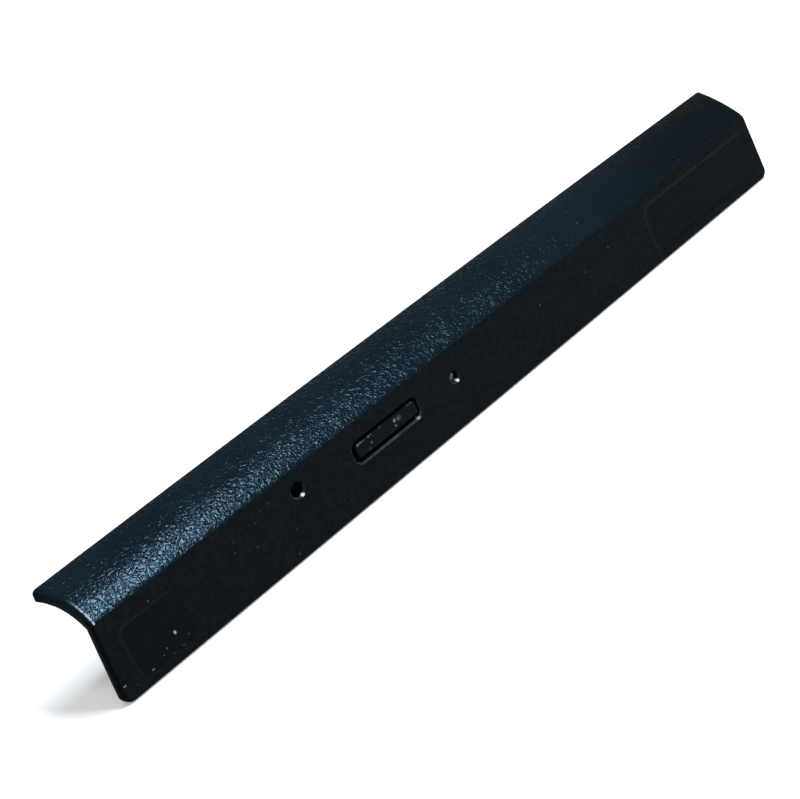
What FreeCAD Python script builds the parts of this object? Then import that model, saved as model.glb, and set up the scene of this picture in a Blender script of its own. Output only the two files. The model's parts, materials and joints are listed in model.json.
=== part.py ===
import FreeCAD, Part
import math
import os
import Sketcher

# Tray bezel of a slim optical drive. Millimetres, +Z up, +X along the bezel, front face towards -Y.
# The origin is the middle of the rear face of the front wall, where the bezel meets the tray.

doc = FreeCAD.newDocument("OpticalDriveBezel")
sheet = doc.addObject("Spreadsheet::Sheet", "Sizes")

SIZES = [
    # front wall and wing
    ("ridge_length", 128.5),
    ("face_height", 10.55),
    ("wall_thickness", 1.25),
    ("wing_depth", 8.45),
    ("wing_rise", 4.55),
    ("wing_radius", 14.1),
    ("wing_thickness", 1.25),
    ("wing_stock", 1.0),
    ("wing_bow", 0.5),
    ("face_flare", 0.9),
    ("wing_flare", 1.85),
    ("face_corner_radius", 1.3),
    ("ridge_radius", 1.5),
    ("rim_radius", 0.7),
    ("tip_radius", 0.3),
    ("mouth_radius", 0.4),
    # low raised panels near the ends of the face, a short one on the left and a long one on the right
    ("left_panel_inset", 2.25),
    ("left_panel_length", 8.4),
    ("left_panel_drop", 2.28),
    ("left_panel_height", 6.53),
    ("left_panel_corner_radius", 1.1),
    ("right_panel_inset", 1.75),
    ("right_panel_length", 25.7),
    ("right_panel_drop", 1.73),
    ("right_panel_height", 7.05),
    ("right_panel_corner_radius", 1.5),
    ("panel_rise", 0.08),
    # emergency release hole and lamp hole, places from mid-length and from the ridge
    ("release_hole_x", -33.7),
    ("release_hole_drop", 2.62),
    ("release_hole_radius", 0.87),
    ("guide_radius", 2.0),
    ("guide_length", 3.0),
    ("lamp_hole_x", -5.62),
    ("lamp_hole_drop", 3.92),
    ("lamp_hole_radius", 0.62),
    # button slot
    ("slot_x", -18.5225),
    ("slot_drop", 3.82),
    ("slot_length", 11.795),
    ("slot_height", 2.77),
    ("slot_corner_radius", 1.0),
    # button moulding
    ("button_gap_left", 0.62),
    ("button_gap_right", 0.25),
    ("button_gap_top", 0.315),
    ("button_gap_bottom", 0.485),
    ("button_corner_radius", 0.6),
    ("button_edge_radius", 0.25),
    ("button_recess", 0.12),
    ("seat_gap", 0.05),
    ("flange_overlap", 0.7),
    ("flange_thickness", 0.8),
    ("arm_drop", 3.4),
    ("arm_height", 2.0),
    ("arm_thickness", 0.6),
    ("arm_length", 14.5),
    ("tab_length", 7.4),
    ("tab_height", 3.6),
    ("switch_post_width", 2.4),
    ("switch_post_height", 2.0),
    ("switch_post_length", 1.6),
    # stake pins that hold the tab
    ("pin_inset", 1.8),
    ("pin_radius", 0.7),
    ("pin_clearance", 0.15),
    ("pin_head_radius", 1.2),
    ("pin_head_height", 0.6),
    ("pin_head_gap", 0.18),
    # lamp light pipe
    ("lens_clearance", 0.08),
    ("lens_recess", 0.55),
    ("lens_dome", 0.25),
    ("pipe_flange_overlap", 0.6),
    ("pipe_flange_thickness", 0.7),
    ("pipe_rod_radius", 0.9),
    ("pipe_rod_length", 3.2),
    # snap hooks behind the wall
    ("hook_inset", 12.0),
    ("hook_middle_x", 20.0),
    ("hook_width", 6.0),
    ("hook_length", 7.0),
    ("hook_thickness", 1.2),
    ("hook_drop", 6.6),
    ("hook_root", 0.5),
    ("barb_height", 0.7),
    ("barb_length", 1.8),
]

# Lines worked out from the sizes above.
DERIVED = [
    ("ridge_z", "=face_height / 2"),
    ("face_bottom_z", "=0 - face_height / 2"),
    ("tip_y", "=wing_depth - wall_thickness"),
    ("tip_z", "=ridge_z + wing_rise"),
    ("stock_top_z", "=tip_z + wing_stock"),
    ("ridge_end_x", "=ridge_length / 2"),
    ("face_end_x", "=ridge_end_x + face_flare"),
    ("stock_top_end_x", "=ridge_end_x - face_flare * (wing_rise + wing_stock) / face_height"),
    ("stock_end_x", "=ridge_end_x + wing_flare + face_flare"),
    ("slot_z", "=ridge_z - slot_drop"),
    ("release_hole_z", "=ridge_z - release_hole_drop"),
    ("lamp_hole_z", "=ridge_z - lamp_hole_drop"),
    ("slot_right_x", "=slot_x + slot_length / 2"),
    ("tab_left_x", "=slot_right_x + arm_length"),
    ("pin_left_x", "=tab_left_x + pin_inset"),
    ("pin_right_x", "=tab_left_x + tab_length - pin_inset"),
    ("pin_z", "=slot_z - arm_drop"),
    ("pin_head_y", "=seat_gap + flange_thickness + pin_head_gap"),
    ("hook_end_x", "=ridge_end_x - hook_inset"),
    ("hook_top_z", "=ridge_z - hook_drop"),
    ("left_panel_x", "=0 - ridge_end_x + left_panel_inset + left_panel_length / 2"),
    ("left_panel_z", "=ridge_z - left_panel_drop - left_panel_height / 2"),
    ("right_panel_x", "=ridge_end_x - right_panel_inset - right_panel_length / 2"),
    ("right_panel_z", "=ridge_z - right_panel_drop - right_panel_height / 2"),
]

for row, (alias, value) in enumerate(SIZES + DERIVED, start=1):
    sheet.set("A%d" % row, alias)
    sheet.set("B%d" % row, str(value))
    sheet.setAlias("B%d" % row, alias)
doc.recompute()


def size(alias):
    return float(sheet.get(alias))


def cell(text):
    """Expression text in which each sheet word points at its cell."""
    words = []
    for word in text.split():
        words.append("Sizes." + word if word[0].isalpha() else word)
    return " ".join(words)


def number(text):
    """Value of an expression made of sheet words, numbers, + and -."""
    total = 0.0
    sign = 1.0
    product = None
    divide = False
    for word in text.split():
        if word in "+-":
            total += sign * product
            sign = 1.0 if word == "+" else -1.0
            product = None
        elif word == "/":
            divide = True
        else:
            value = size(word) if word[0].isalpha() else float(word)
            if divide:
                product /= value
                divide = False
            else:
                product = value
    return total + sign * product


def new_body(label):
    body = doc.addObject("PartDesign::Body", label)
    body.Label = label
    return body


def place(body, **where):
    """Binds the body's place to the sheet."""
    for axis, text in where.items():
        body.setExpression("Placement.Base." + axis, cell(text))


def new_sketch(body, name, role, offset=None):
    """Sketch on one of the body's origin planes, moved along the plane's normal by an expression."""
    sketch = body.newObject("Sketcher::SketchObject", name)
    plane = [f for f in body.Origin.OriginFeatures if f.Role == role][0]
    sketch.AttachmentSupport = [(plane, "")]
    sketch.MapMode = "FlatFace"
    if offset is not None:
        sketch.setExpression("AttachmentOffset.Base.z", cell(offset))
    return sketch


def bind(sketch, name, kind, refs, text):
    """Adds a driving constraint and binds it to an expression of the sheet."""
    index = sketch.addConstraint(Sketcher.Constraint(kind, *refs, number(text)))
    sketch.renameConstraint(index, name)
    sketch.setExpression("Constraints." + name, cell(text))


def join(sketch, *pairs):
    for first, first_end, second, second_end in pairs:
        sketch.addConstraint(Sketcher.Constraint("Coincident", first, first_end, second, second_end))


def flat(x, y):
    return FreeCAD.Vector(x, y, 0)


def rectangle(sketch, left, right, low, high):
    """Rectangle between four expressions."""
    x0 = number(left)
    x1 = number(right)
    z0 = number(low)
    z1 = number(high)
    corners = [flat(x0, z0), flat(x1, z0), flat(x1, z1), flat(x0, z1)]
    for i in range(4):
        sketch.addGeometry(Part.LineSegment(corners[i], corners[(i + 1) % 4]))
    join(sketch, (0, 2, 1, 1), (1, 2, 2, 1), (2, 2, 3, 1), (3, 2, 0, 1))
    for i, kind in enumerate(("Horizontal", "Vertical", "Horizontal", "Vertical")):
        sketch.addConstraint(Sketcher.Constraint(kind, i))
    bind(sketch, "left", "DistanceX", (-1, 1, 0, 1), left)
    bind(sketch, "right", "DistanceX", (-1, 1, 1, 1), right)
    bind(sketch, "low", "DistanceY", (-1, 1, 0, 1), low)
    bind(sketch, "high", "DistanceY", (-1, 1, 2, 1), high)


def rounded_rectangle(sketch, left, right, low, high, radius):
    """Rectangle between four expressions with round corners."""
    x0 = number(left)
    x1 = number(right)
    z0 = number(low)
    z1 = number(high)
    r = number(radius)
    sides = [
        (flat(x0 + r, z0), flat(x1 - r, z0)),
        (flat(x1, z0 + r), flat(x1, z1 - r)),
        (flat(x1 - r, z1), flat(x0 + r, z1)),
        (flat(x0, z1 - r), flat(x0, z0 + r)),
    ]
    centres = [flat(x1 - r, z0 + r), flat(x1 - r, z1 - r), flat(x0 + r, z1 - r), flat(x0 + r, z0 + r)]
    for start, end in sides:
        sketch.addGeometry(Part.LineSegment(start, end))
    for i, centre in enumerate(centres):
        circle = Part.Circle(centre, FreeCAD.Vector(0, 0, 1), r)
        begin = math.radians(90 * i - 90)
        sketch.addGeometry(Part.ArcOfCircle(circle, begin, begin + math.radians(90)))
    for i in range(4):
        sketch.addConstraint(Sketcher.Constraint("Tangent", i, 2, 4 + i, 1))
        sketch.addConstraint(Sketcher.Constraint("Tangent", 4 + i, 2, (i + 1) % 4, 1))
    for i, kind in enumerate(("Horizontal", "Vertical", "Horizontal", "Vertical")):
        sketch.addConstraint(Sketcher.Constraint(kind, i))
    for i in (5, 6, 7):
        sketch.addConstraint(Sketcher.Constraint("Equal", 4, i))
    bind(sketch, "radius", "Radius", (4,), radius)
    bind(sketch, "left", "DistanceX", (-1, 1, 3, 1), left)
    bind(sketch, "right", "DistanceX", (-1, 1, 1, 1), right)
    bind(sketch, "low", "DistanceY", (-1, 1, 0, 1), low)
    bind(sketch, "high", "DistanceY", (-1, 1, 2, 1), high)


def circle(sketch, index, x, z, radius):
    """Circle number index of the sketch, centred by two expressions."""
    centre = flat(number(x), number(z))
    sketch.addGeometry(Part.Circle(centre, FreeCAD.Vector(0, 0, 1), number(radius)))
    bind(sketch, "x%d" % index, "DistanceX", (-1, 1, index, 3), x)
    bind(sketch, "z%d" % index, "DistanceY", (-1, 1, index, 3), z)
    bind(sketch, "radius%d" % index, "Radius", (index,), radius)


def pad(body, name, sketch, length, reverse=False, both=False):
    feature = body.newObject("PartDesign::Pad", name)
    feature.Profile = sketch
    feature.setExpression("Length", cell(length))
    feature.Reversed = reverse
    if both:
        feature.SideType = "Symmetric"
    sketch.Visibility = False
    doc.recompute()
    return feature


def pocket(body, name, sketch, length=None, reverse=False):
    """Cut to a depth, or right through both ways when there is no depth."""
    feature = body.newObject("PartDesign::Pocket", name)
    feature.Profile = sketch
    if length is None:
        feature.Type = "ThroughAll"
        feature.SideType = "Symmetric"
    else:
        feature.setExpression("Length", cell(length))
        feature.Reversed = reverse
    sketch.Visibility = False
    doc.recompute()
    return feature


def mirror(body, name, original):
    feature = body.newObject("PartDesign::Mirrored", name)
    feature.Originals = [original]
    feature.MirrorPlane = ([f for f in body.Origin.OriginFeatures if f.Role == "YZ_Plane"][0], [""])
    body.Tip = feature
    doc.recompute()
    return feature


def fillet(body, name, base, edges, radius):
    feature = body.newObject("PartDesign::Fillet", name)
    feature.Base = (base, edges)
    feature.setExpression("Radius", cell(radius))
    doc.recompute()
    return feature


def edge_names(shape, wanted):
    return ["Edge%d" % (i + 1) for i, edge in enumerate(shape.Edges) if wanted(edge)]


def near(a, b):
    return abs(a - b) < 1e-4


def spans(edge, axis):
    box = edge.BoundBox
    return {"x": box.XLength, "y": box.YLength, "z": box.ZLength}[axis]


# The bezel moulding: one section drawn across it and run along its length.
bezel = new_body("bezel")
section = new_sketch(bezel, "section", "YZ_Plane")
wall = size("wall_thickness")
ridge = flat(-wall, size("ridge_z"))
foot = flat(-wall, size("face_bottom_z"))
tip = flat(size("tip_y"), ridge.y + size("wing_rise"))
outer = size("wing_radius")
inner = outer - size("wing_thickness")
chord = tip - ridge
down = flat(chord.y, -chord.x)
down.normalize()
centre = ridge + chord * 0.5 + down * math.sqrt(outer ** 2 - (chord.Length / 2) ** 2)
stock_angle = math.acos((tip.x + size("wing_stock") - centre.x) / outer)
ridge_angle = math.atan2(ridge.y - centre.y, ridge.x - centre.x)
seat_angle = math.pi - math.acos(centre.x / inner)
radial = flat(math.cos(stock_angle), math.sin(stock_angle))
seat_top = centre + flat(math.cos(seat_angle), math.sin(seat_angle)) * inner
seat_foot = flat(0, foot.y)
upward = FreeCAD.Vector(0, 0, 1)
section.addGeometry(Part.LineSegment(foot, ridge))
section.addGeometry(Part.ArcOfCircle(Part.Circle(centre, upward, outer), stock_angle, ridge_angle))
section.addGeometry(Part.LineSegment(centre + radial * outer, centre + radial * inner))
section.addGeometry(Part.ArcOfCircle(Part.Circle(centre, upward, inner), stock_angle, seat_angle))
section.addGeometry(Part.LineSegment(seat_top, seat_foot))
section.addGeometry(Part.LineSegment(seat_foot, foot))
section.addGeometry(Part.Point(tip), True)
join(section, (0, 2, 1, 2), (1, 1, 2, 1), (2, 2, 3, 1), (3, 2, 4, 1), (4, 2, 5, 1), (5, 2, 0, 1))
join(section, (1, 3, 3, 3))
section.addConstraint(Sketcher.Constraint("Vertical", 0))
section.addConstraint(Sketcher.Constraint("Vertical", 4))
section.addConstraint(Sketcher.Constraint("Horizontal", 5))
section.addConstraint(Sketcher.Constraint("PointOnObject", 4, 2, -2))
section.addConstraint(Sketcher.Constraint("PointOnObject", 1, 3, 2))
section.addConstraint(Sketcher.Constraint("PointOnObject", 6, 1, 1))
bind(section, "front", "DistanceX", (0, 1, -1, 1), "wall_thickness")
bind(section, "bottom", "DistanceY", (-1, 1, 0, 1), "face_bottom_z")
bind(section, "height", "DistanceY", (0, 1, 0, 2), "face_height")
bind(section, "depth", "DistanceX", (0, 2, 6, 1), "wing_depth")
bind(section, "rise", "DistanceY", (0, 2, 6, 1), "wing_rise")
bind(section, "stock", "DistanceX", (6, 1, 1, 1), "wing_stock")
bind(section, "outer", "Radius", (1,), "wing_radius")
bind(section, "inner", "Radius", (3,), "wing_radius - wing_thickness")
pad(bezel, "strip", section, "stock_end_x + stock_end_x", both=True)


def end_plan(name, height, end):
    """Plan of what is cut off past the right end: square to the face, then curving out along the wing."""
    sketch = new_sketch(bezel, name, "XY_Plane", height)
    reach = size("wing_depth")
    flare = size("wing_flare")
    curl = (reach ** 2 + flare ** 2) / (2 * flare)
    level = flat(number(end), -wall)
    curl_centre = level + flat(curl, 0)
    front_angle = math.pi + math.asin(size("wing_stock") / curl)
    rear_angle = math.pi - math.asin((reach + size("wing_stock")) / curl)
    front = curl_centre + flat(math.cos(front_angle), math.sin(front_angle)) * curl
    rear = curl_centre + flat(math.cos(rear_angle), math.sin(rear_angle)) * curl
    far = number("stock_end_x + wing_stock + wing_stock")
    sketch.addGeometry(Part.ArcOfCircle(Part.Circle(curl_centre, upward, curl), rear_angle, front_angle))
    sketch.addGeometry(Part.LineSegment(rear, flat(far, rear.y)))
    sketch.addGeometry(Part.LineSegment(flat(far, rear.y), flat(far, front.y)))
    sketch.addGeometry(Part.LineSegment(flat(far, front.y), front))
    sketch.addGeometry(Part.Point(level), True)
    sketch.addGeometry(Part.Point(level + flat(flare, reach)), True)
    join(sketch, (0, 1, 1, 1), (1, 2, 2, 1), (2, 2, 3, 1), (3, 2, 0, 2))
    sketch.addConstraint(Sketcher.Constraint("Horizontal", 1))
    sketch.addConstraint(Sketcher.Constraint("Vertical", 2))
    sketch.addConstraint(Sketcher.Constraint("Horizontal", 3))
    sketch.addConstraint(Sketcher.Constraint("PointOnObject", 4, 1, 0))
    sketch.addConstraint(Sketcher.Constraint("PointOnObject", 5, 1, 0))
    bind(sketch, "level", "DistanceY", (0, 3, -1, 1), "wall_thickness")
    bind(sketch, "face", "DistanceY", (4, 1, -1, 1), "wall_thickness")
    bind(sketch, "end", "DistanceX", (-1, 1, 4, 1), end)
    bind(sketch, "reach", "DistanceY", (4, 1, 5, 1), "wing_depth")
    bind(sketch, "flare", "DistanceX", (4, 1, 5, 1), "wing_flare")
    bind(sketch, "front", "DistanceY", (0, 2, -1, 1), "wall_thickness + wing_stock")
    bind(sketch, "rear", "DistanceY", (-1, 1, 0, 1), "tip_y + wing_stock")
    bind(sketch, "far", "DistanceX", (-1, 1, 2, 1), "stock_end_x + wing_stock + wing_stock")
    sketch.Visibility = False
    return sketch


# The ends lean outwards towards the foot. The right end is cut between two plans and then mirrored.
foot_plan = end_plan("end_plan_at_foot", "face_bottom_z", "face_end_x")
top_plan = end_plan("end_plan_at_top", "stock_top_z", "stock_top_end_x")
right_end = bezel.newObject("PartDesign::SubtractiveLoft", "right_end")
right_end.Profile = foot_plan
right_end.Sections = [top_plan]
right_end.Ruled = True
doc.recompute()
both_ends = mirror(bezel, "both_ends", right_end)

half = size("stock_end_x")


def is_foot_corner(edge):
    along = spans(edge, "x") > spans(edge, "y")
    return near(edge.CenterOfMass.z, foot.y) and near(spans(edge, "z"), 0) and not along


def is_ridge(edge):
    middle = edge.CenterOfMass
    return near(middle.y, ridge.x) and near(middle.z, ridge.y) and spans(edge, "x") > half


def skin_rim(shape):
    """Edges around the outer skin: the face, the ridge and the wing taken together."""
    skin = []
    for face in shape.Faces:
        surface = face.Surface
        if isinstance(surface, Part.Plane) and near(face.BoundBox.YMax, ridge.x):
            skin.append(face)
        if isinstance(surface, Part.Cylinder) and near(abs(surface.Axis.x), 1):
            if near(surface.Radius, outer) or near(surface.Radius, size("ridge_radius")):
                skin.append(face)
    edges = [edge for face in skin for edge in face.Edges]
    return [edge for edge in edges if sum(edge.isSame(other) for other in edges) == 1]


def is_tip(edge):
    return edge.CenterOfMass.y > 0 and spans(edge, "x") > half


foot_corners = edge_names(both_ends.Shape, is_foot_corner)
face_round = fillet(bezel, "face_corners", both_ends, foot_corners, "face_corner_radius")
ridge_round = fillet(bezel, "ridge", face_round, edge_names(face_round.Shape, is_ridge), "ridge_radius")
rim = [edge for edge in skin_rim(ridge_round.Shape) if not is_tip(edge)]
rim_names = edge_names(ridge_round.Shape, lambda e: any(e.isSame(other) for other in rim))
fillet(bezel, "rim", ridge_round, rim_names, "rim_radius")

# The rear edge of the wing bows back a little in the middle.
setback = size("wing_bow")
bow_radius = (half ** 2 + setback ** 2) / (2 * setback)
bow_half = math.asin(half / bow_radius)
bow_circle = Part.Circle(flat(0, tip.x - bow_radius), upward, bow_radius)
edge_y = tip.x - setback
far_y = tip.x + 2 * size("wing_stock")
rear_sketch = new_sketch(bezel, "rear_outline", "XY_Plane")
rear_sketch.addGeometry(Part.ArcOfCircle(bow_circle, math.pi / 2 - bow_half, math.pi / 2 + bow_half))
rear_sketch.addGeometry(Part.LineSegment(flat(-half, edge_y), flat(-half, far_y)))
rear_sketch.addGeometry(Part.LineSegment(flat(-half, far_y), flat(half, far_y)))
rear_sketch.addGeometry(Part.LineSegment(flat(half, far_y), flat(half, edge_y)))
rear_sketch.addGeometry(Part.Point(flat(0, tip.x)), True)
join(rear_sketch, (0, 2, 1, 1), (1, 2, 2, 1), (2, 2, 3, 1), (3, 2, 0, 1))
rear_sketch.addConstraint(Sketcher.Constraint("Vertical", 1))
rear_sketch.addConstraint(Sketcher.Constraint("Horizontal", 2))
rear_sketch.addConstraint(Sketcher.Constraint("Vertical", 3))
rear_sketch.addConstraint(Sketcher.Constraint("PointOnObject", 4, 1, -2))
rear_sketch.addConstraint(Sketcher.Constraint("PointOnObject", 4, 1, 0))
rear_sketch.addConstraint(Sketcher.Constraint("PointOnObject", 0, 3, -2))
bind(rear_sketch, "middle", "DistanceY", (-1, 1, 4, 1), "tip_y")
bind(rear_sketch, "right", "DistanceX", (-1, 1, 0, 1), "stock_end_x")
bind(rear_sketch, "left", "DistanceX", (0, 2, -1, 1), "stock_end_x")
bind(rear_sketch, "setback", "DistanceY", (0, 1, 4, 1), "wing_bow")
bind(rear_sketch, "far", "DistanceY", (4, 1, 2, 1), "wing_stock + wing_stock")
trimmed = pocket(bezel, "rear_edge", rear_sketch)
tip_names = edge_names(trimmed.Shape, lambda e: is_tip(e) and e.CenterOfMass.z > tip.y - size("tip_radius"))
fillet(bezel, "tip", trimmed, tip_names, "tip_radius")

# A collar behind the release hole, which keeps a straightened wire level on its way to the latch.
guide_sketch = new_sketch(bezel, "guide_outline", "XZ_Plane", "hook_root")
circle(guide_sketch, 0, "release_hole_x", "release_hole_z", "guide_radius")
pad(bezel, "guide", guide_sketch, "hook_root + guide_length", reverse=True)

# The slot for the button and the two round holes, through the front wall.
slot_sketch = new_sketch(bezel, "slot_outline", "XZ_Plane")
rounded_rectangle(
    slot_sketch,
    "slot_x - slot_length / 2",
    "slot_x + slot_length / 2",
    "slot_z - slot_height / 2",
    "slot_z + slot_height / 2",
    "slot_corner_radius",
)
pocket(bezel, "slot", slot_sketch)
hole_sketch = new_sketch(bezel, "hole_outlines", "XZ_Plane")
circle(hole_sketch, 0, "release_hole_x", "release_hole_z", "release_hole_radius")
circle(hole_sketch, 1, "lamp_hole_x", "lamp_hole_z", "lamp_hole_radius")
holes = pocket(bezel, "holes", hole_sketch)


def mouths(shape):
    """Edges of the openings in the front face."""
    found = []
    for face in shape.Faces:
        if isinstance(face.Surface, Part.Plane) and near(face.BoundBox.YMax, ridge.x):
            for wire in face.Wires:
                if not wire.isSame(face.OuterWire):
                    found += wire.Edges
    return edge_names(shape, lambda e: any(e.isSame(m) for m in found))


fillet(bezel, "mouths", holes, mouths(holes.Shape), "mouth_radius")

# A low raised panel near each end of the face.
for name in ("left_panel", "right_panel"):
    panel_sketch = new_sketch(bezel, name + "_outline", "XZ_Plane", "wall_thickness - hook_root")
    rounded_rectangle(
        panel_sketch,
        name + "_x - " + name + "_length / 2",
        name + "_x + " + name + "_length / 2",
        name + "_z - " + name + "_height / 2",
        name + "_z + " + name + "_height / 2",
        name + "_corner_radius",
    )
    pad(bezel, name, panel_sketch, "hook_root + panel_rise")

# Snap hooks behind the wall, each with a barb on its lower side.
HOOKS = [("left_hook", "0 - hook_end_x"), ("middle_hook", "hook_middle_x"), ("right_hook", "hook_end_x")]
for name, where in HOOKS:
    side = new_sketch(bezel, name + "_side", "YZ_Plane", where)
    root_y = -size("hook_root")
    top_z = size("hook_top_z")
    low_z = top_z - size("hook_thickness")
    tip_y = size("hook_length")
    catch_y = tip_y - size("barb_length")
    outline = [
        flat(root_y, top_z),
        flat(tip_y, top_z),
        flat(tip_y, low_z),
        flat(catch_y, low_z - size("barb_height")),
        flat(catch_y, low_z),
        flat(root_y, low_z),
    ]
    for i in range(6):
        side.addGeometry(Part.LineSegment(outline[i], outline[(i + 1) % 6]))
    join(side, (0, 2, 1, 1), (1, 2, 2, 1), (2, 2, 3, 1), (3, 2, 4, 1), (4, 2, 5, 1), (5, 2, 0, 1))
    for i in (0, 4):
        side.addConstraint(Sketcher.Constraint("Horizontal", i))
    for i in (1, 3, 5):
        side.addConstraint(Sketcher.Constraint("Vertical", i))
    bind(side, "root", "DistanceX", (0, 1, -1, 1), "hook_root")
    bind(side, "reach", "DistanceX", (-1, 1, 0, 2), "hook_length")
    bind(side, "top", "DistanceY", (-1, 1, 0, 1), "hook_top_z")
    bind(side, "thickness", "DistanceY", (1, 2, 1, 1), "hook_thickness")
    bind(side, "tip", "DistanceY", (4, 2, 0, 1), "hook_thickness")
    bind(side, "barb", "DistanceY", (3, 1, 3, 2), "barb_height")
    bind(side, "lead", "DistanceX", (3, 2, 1, 2), "barb_length")
    pad(bezel, name, side, "hook_width", both=True)

# Stake pins for the button's tab, with their heads.
pin_sketch = new_sketch(bezel, "pin_outlines", "XZ_Plane", "hook_root")
circle(pin_sketch, 0, "pin_left_x", "pin_z", "pin_radius")
circle(pin_sketch, 1, "pin_right_x", "pin_z", "pin_radius")
pad(bezel, "pins", pin_sketch, "hook_root + pin_head_y", reverse=True)
head_sketch = new_sketch(bezel, "pin_head_outlines", "XZ_Plane", "0 - pin_head_y")
circle(head_sketch, 0, "pin_left_x", "pin_z", "pin_head_radius")
circle(head_sketch, 1, "pin_right_x", "pin_z", "pin_head_radius")
pad(bezel, "pin_heads", head_sketch, "pin_head_height", reverse=True)

# The button moulding, drawn about the middle of its slot: cap, flange, leaf arm and staked tab.
button = new_body("eject_button")
place(button, x="slot_x", z="slot_z")
cap_sketch = new_sketch(button, "cap_outline", "XZ_Plane", "wall_thickness - button_recess")
rounded_rectangle(
    cap_sketch,
    "button_gap_left - slot_length / 2",
    "slot_length / 2 - button_gap_right",
    "button_gap_bottom - slot_height / 2",
    "slot_height / 2 - button_gap_top",
    "button_corner_radius",
)
cap = pad(
    button,
    "cap",
    cap_sketch,
    "wall_thickness - button_recess + seat_gap + flange_thickness",
    reverse=True,
)
cap_front = size("button_recess") - wall
front_edges = edge_names(cap.Shape, lambda e: near(e.BoundBox.YMax, cap_front))
fillet(button, "cap_edge", cap, front_edges, "button_edge_radius")

flange_sketch = new_sketch(button, "flange_outline", "XZ_Plane", "0 - seat_gap")
rectangle(
    flange_sketch,
    "0 - slot_length / 2 - flange_overlap",
    "slot_length / 2 + flange_overlap",
    "0 - arm_drop - arm_height / 2",
    "slot_height / 2 + flange_overlap",
)
pad(button, "flange", flange_sketch, "flange_thickness", reverse=True)
arm_sketch = new_sketch(button, "arm_outline", "XZ_Plane", "0 - seat_gap")
rectangle(
    arm_sketch,
    "slot_length / 2",
    "slot_length / 2 + arm_length + pin_inset",
    "0 - arm_drop - arm_height / 2",
    "0 - arm_drop + arm_height / 2",
)
pad(button, "arm", arm_sketch, "arm_thickness", reverse=True)
tab_sketch = new_sketch(button, "tab_outline", "XZ_Plane", "0 - seat_gap")
rectangle(
    tab_sketch,
    "slot_length / 2 + arm_length",
    "slot_length / 2 + arm_length + tab_length",
    "0 - arm_drop - tab_height / 2",
    "0 - arm_drop + tab_height / 2",
)
pad(button, "tab", tab_sketch, "flange_thickness", reverse=True)
stake_sketch = new_sketch(button, "stake_holes_outline", "XZ_Plane")
circle(stake_sketch, 0, "pin_left_x - slot_x", "0 - arm_drop", "pin_radius + pin_clearance")
circle(stake_sketch, 1, "pin_right_x - slot_x", "0 - arm_drop", "pin_radius + pin_clearance")
pocket(button, "stake_holes", stake_sketch)
post_sketch = new_sketch(button, "switch_post_outline", "XZ_Plane", "0 - seat_gap - flange_thickness")
rectangle(
    post_sketch,
    "0 - switch_post_width / 2",
    "switch_post_width / 2",
    "0 - switch_post_height / 2",
    "switch_post_height / 2",
)
pad(button, "switch_post", post_sketch, "switch_post_length", reverse=True)

# The clear light pipe behind the lamp hole, turned about the hole's own axis.
pipe = new_body("led_light_pipe")
place(pipe, x="lamp_hole_x", z="lamp_hole_z")
turned = new_sketch(pipe, "pipe_profile", "XY_Plane")
lens_radius = size("lamp_hole_radius") - size("lens_clearance")
brim_radius = size("lamp_hole_radius") + size("pipe_flange_overlap")
rod_radius = size("pipe_rod_radius")
dome_y = size("lens_recess") - wall
shoulder_y = dome_y + size("lens_dome")
brim_y = size("pipe_flange_thickness")
rod_y = brim_y + size("pipe_rod_length")
dome_radius = (lens_radius ** 2 + size("lens_dome") ** 2) / (2 * size("lens_dome"))
dome_half = math.asin(lens_radius / dome_radius)
dome_circle = Part.Circle(flat(0, dome_y + dome_radius), upward, dome_radius)
profile = [
    flat(lens_radius, shoulder_y),
    flat(lens_radius, 0),
    flat(brim_radius, 0),
    flat(brim_radius, brim_y),
    flat(rod_radius, brim_y),
    flat(rod_radius, rod_y),
    flat(0, rod_y),
    flat(0, dome_y),
]
for i in range(7):
    turned.addGeometry(Part.LineSegment(profile[i], profile[i + 1]))
turned.addGeometry(Part.ArcOfCircle(dome_circle, -math.pi / 2, -math.pi / 2 + dome_half))
join(turned, (0, 2, 1, 1), (1, 2, 2, 1), (2, 2, 3, 1), (3, 2, 4, 1))
join(turned, (4, 2, 5, 1), (5, 2, 6, 1), (6, 2, 7, 1), (7, 2, 0, 1))
for i in (0, 2, 4):
    turned.addConstraint(Sketcher.Constraint("Vertical", i))
for i in (1, 3, 5):
    turned.addConstraint(Sketcher.Constraint("Horizontal", i))
turned.addConstraint(Sketcher.Constraint("PointOnObject", 1, 1, -1))
turned.addConstraint(Sketcher.Constraint("PointOnObject", 6, 1, -2))
turned.addConstraint(Sketcher.Constraint("PointOnObject", 6, 2, -2))
turned.addConstraint(Sketcher.Constraint("PointOnObject", 7, 3, -2))
bind(turned, "lens", "DistanceX", (-1, 1, 0, 1), "lamp_hole_radius - lens_clearance")
bind(turned, "brim", "DistanceX", (-1, 1, 2, 1), "lamp_hole_radius + pipe_flange_overlap")
bind(turned, "rod", "DistanceX", (-1, 1, 4, 1), "pipe_rod_radius")
bind(turned, "face", "DistanceY", (6, 2, -1, 1), "wall_thickness - lens_recess")
bind(turned, "dome", "DistanceY", (6, 2, 0, 1), "lens_dome")
bind(turned, "brim_depth", "DistanceY", (-1, 1, 2, 2), "pipe_flange_thickness")
bind(turned, "rod_depth", "DistanceY", (4, 1, 4, 2), "pipe_rod_length")
lens = pipe.newObject("PartDesign::Revolution", "lens")
lens.Profile = turned
lens.ReferenceAxis = (turned, ["V_Axis"])
lens.Angle = 360
doc.recompute()

for item in doc.Objects:
    if "Invalid" in item.State or "Error" in item.State:
        raise RuntimeError("%s did not build: %s" % (item.Label, item.State))

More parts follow.
